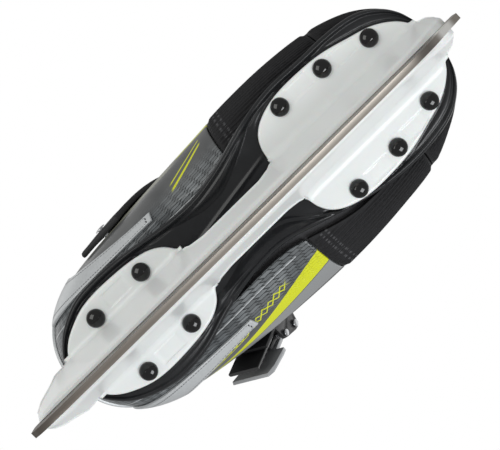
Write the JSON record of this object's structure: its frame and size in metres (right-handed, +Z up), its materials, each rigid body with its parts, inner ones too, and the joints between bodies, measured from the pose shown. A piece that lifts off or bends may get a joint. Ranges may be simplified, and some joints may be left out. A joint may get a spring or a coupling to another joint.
{
  "type": "ice skate",
  "caption": "Laced boot on a moulded holder with a ground steel runner, and a diagonal instep strap closed by a ratchet buckle; right foot.",
  "frame": {"origin": "on the running edge of the steel, at the middle of its length and thickness", "axes": "+X to the toe, +Y to the inner side of the foot, +Z up the leg; the skate stands on its steel"},
  "size_m": [0.28, 0.119, 0.2535],
  "materials": {
    "steel": "ground carbon steel, satin with long grinding marks",
    "zinc": "zinc-plated steel, satin",
    "white_plastic": "moulded white plastic, glossy and slightly milky",
    "black_rivet": "glossy black coated domed heads",
    "black_sole": "moulded black sole, satin",
    "board": "pressed fibreboard, matte",
    "carbon_shell": "dark grey shell with a woven look under clear gloss",
    "silver_trim": "silver-grey satin trim",
    "black_fabric": "ribbed black textile",
    "black_trim": "black satin moulded trim",
    "grey_lining": "brushed grey lining",
    "lace": "flat braided waxed lace, off-white",
    "strap_white": "pale moulded ladder strap",
    "spring_steel": "bright drawn spring wire"
  },
  "bodies": {
    "boot": {"runner": "steel", "blade_holder": "white_plastic", "outsole": "black_sole", "insole_board": "board", "footbed": "grey_lining", "toe_cap": "black_fabric", "vamp_inner": "black_fabric", "vamp_outer": "black_fabric", "quarter_inner": "carbon_shell", "quarter_outer": "carbon_shell", "facing_inner": "black_trim", "facing_outer": "black_trim", "heel_counter": "silver_trim", "heel_trim_inner": "silver_trim", "heel_trim_outer": "silver_trim", "tendon_guard": "black_trim", "liner": "grey_lining", "tongue": "grey_lining", "lace": "lace", "strap_pad": "black_fabric", "ladder_strap": "strap_white", "strap_rivet": "zinc", "buckle_rivet": "zinc", "buckle_base": "black_trim", "lever_pin": "zinc", "lever_spring": "spring_steel", "pawl_pin": "zinc", "pawl_spring": "spring_steel", "runner_washer_front": "zinc", "runner_nut_front": "zinc", "runner_washer_rear": "zinc", "runner_nut_rear": "zinc", "front_rivet_1": "black_rivet", "front_rivet_2": "black_rivet", "front_rivet_3": "black_rivet", "front_rivet_4": "black_rivet", "front_rivet_5": "black_rivet", "front_rivet_6": "black_rivet", "rear_rivet_1": "black_rivet", "rear_rivet_2": "black_rivet", "rear_rivet_3": "black_rivet", "rear_rivet_4": "black_rivet", "eyelet_inner_1": "zinc", "eyelet_inner_2": "zinc", "eyelet_inner_3": "zinc", "eyelet_inner_4": "zinc", "eyelet_inner_5": "zinc", "eyelet_inner_6": "zinc", "eyelet_outer_1": "zinc", "eyelet_outer_2": "zinc", "eyelet_outer_3": "zinc", "eyelet_outer_4": "zinc", "eyelet_outer_5": "zinc", "eyelet_outer_6": "zinc"},
    "lever": {"buckle_lever": "silver_trim"},
    "pawl": {"release_pawl": "black_trim"}
  },
  "joints": [
    {"name": "lever_hinge", "type": "hinge", "parent": "boot", "child": "lever", "pos_m": [-0.0299, 0.05824, 0.12425], "axis": [0.7407, 0.3253, -0.5879], "range_deg": [0, 75], "stiffness_Nm_per_rad": 0.05, "springref_deg": -11.46},
    {"name": "pawl_hinge", "type": "hinge", "parent": "boot", "child": "pawl", "pos_m": [-0.03674, 0.05714, 0.11502], "axis": [0.7407, 0.3253, -0.5879], "range_deg": [0, 12], "stiffness_Nm_per_rad": 0.02, "springref_deg": -11.46}
  ]
}
